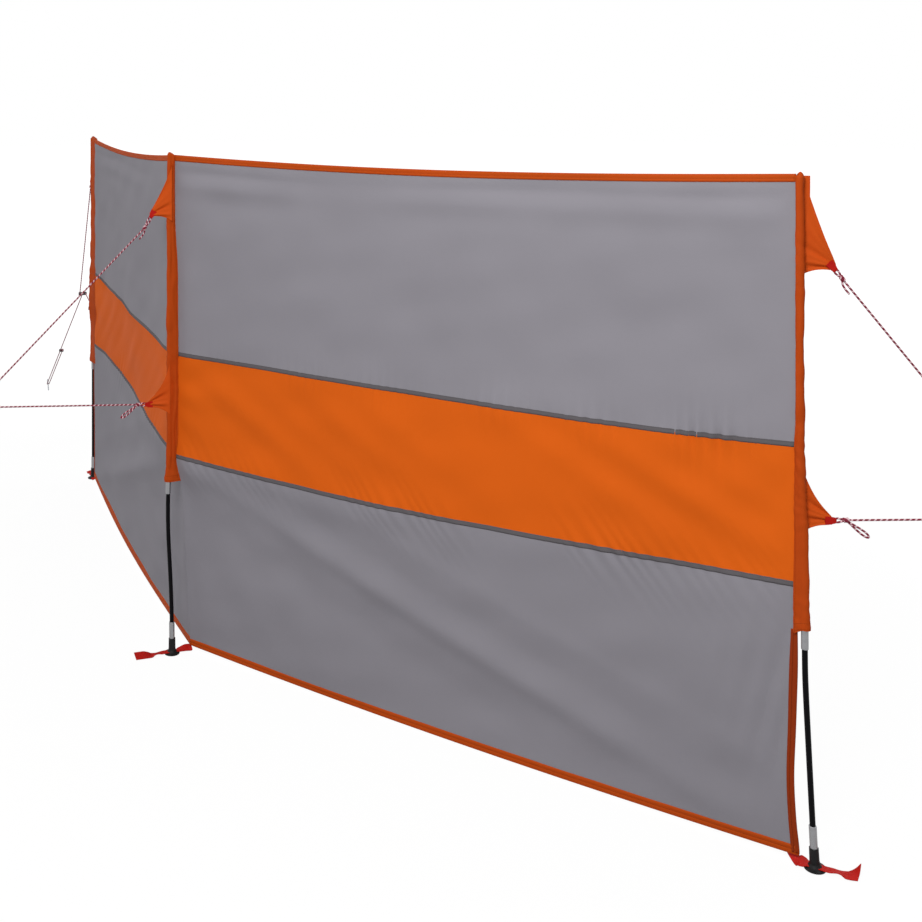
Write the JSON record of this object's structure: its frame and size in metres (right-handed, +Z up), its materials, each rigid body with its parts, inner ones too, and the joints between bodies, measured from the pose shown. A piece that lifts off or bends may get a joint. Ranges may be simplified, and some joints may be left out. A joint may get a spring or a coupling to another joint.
{
  "type": "beach windbreak",
  "caption": "Beach windbreak: banded cloth bays stretched between upright poles in sleeves, standing on moulded feet and stayed by forked guy lines to ground pegs.",
  "frame": {"origin": "centre of the middle foot's underside, on the ground", "axes": "+X along the row of poles, +Y to the sheltered side that both bays fall back to, +Z up"},
  "size_m": [6.2526, 3.7173, 1.52],
  "materials": {
    "pole_fibreglass": "black pultruded fibreglass, satin gloss",
    "ferrule_metal": "plain drawn aluminium, lightly brushed",
    "foot_plastic": "black moulded nylon, fine matt grain",
    "red_webbing": "red woven polypropylene webbing",
    "grey_cloth": "grey woven polyester sheet, faint sheen",
    "orange_cloth": "orange woven polyester sheet, faint sheen",
    "binding_cloth": "dark orange woven tape and pocket cloth with stitched edges",
    "seam_tape": "dark grey stitched seam tape",
    "guy_rope": "dark red braided cord with white flecks",
    "runner_plastic": "black moulded plastic",
    "peg_steel": "bent steel wire, dull zinc"
  },
  "bodies": {
    "root": {"left_pole_sections": "pole_fibreglass", "left_pole_ferrules": "ferrule_metal", "left_pole_foot": "foot_plastic", "left_foot_strap": "red_webbing", "left_pole_sleeve": "binding_cloth", "left_guy_patches": "binding_cloth", "left_guy_loops": "red_webbing", "left_guy_lines": "guy_rope", "left_line_runners": "runner_plastic", "left_ground_peg": "peg_steel", "middle_pole_sections": "pole_fibreglass", "middle_pole_ferrules": "ferrule_metal", "middle_pole_foot": "foot_plastic", "middle_foot_strap": "red_webbing", "middle_pole_sleeve": "binding_cloth", "middle_guy_patches": "binding_cloth", "middle_guy_loops": "red_webbing", "middle_guy_lines": "guy_rope", "middle_line_runners": "runner_plastic", "middle_ground_peg": "peg_steel", "right_pole_sections": "pole_fibreglass", "right_pole_ferrules": "ferrule_metal", "right_pole_foot": "foot_plastic", "right_foot_strap": "red_webbing", "right_pole_sleeve": "binding_cloth", "right_guy_patches": "binding_cloth", "right_guy_loops": "red_webbing", "right_guy_lines": "guy_rope", "right_line_runners": "runner_plastic", "right_ground_peg": "peg_steel", "left_upper_panel": "grey_cloth", "left_centre_band": "orange_cloth", "left_lower_panel": "grey_cloth", "left_seam_tapes": "seam_tape", "left_top_binding": "binding_cloth", "left_bottom_binding": "binding_cloth", "left_end_binding": "binding_cloth", "right_upper_panel": "grey_cloth", "right_centre_band": "orange_cloth", "right_lower_panel": "grey_cloth", "right_seam_tapes": "seam_tape", "right_top_binding": "binding_cloth", "right_bottom_binding": "binding_cloth", "right_end_binding": "binding_cloth"}
  },
  "joints": []
}
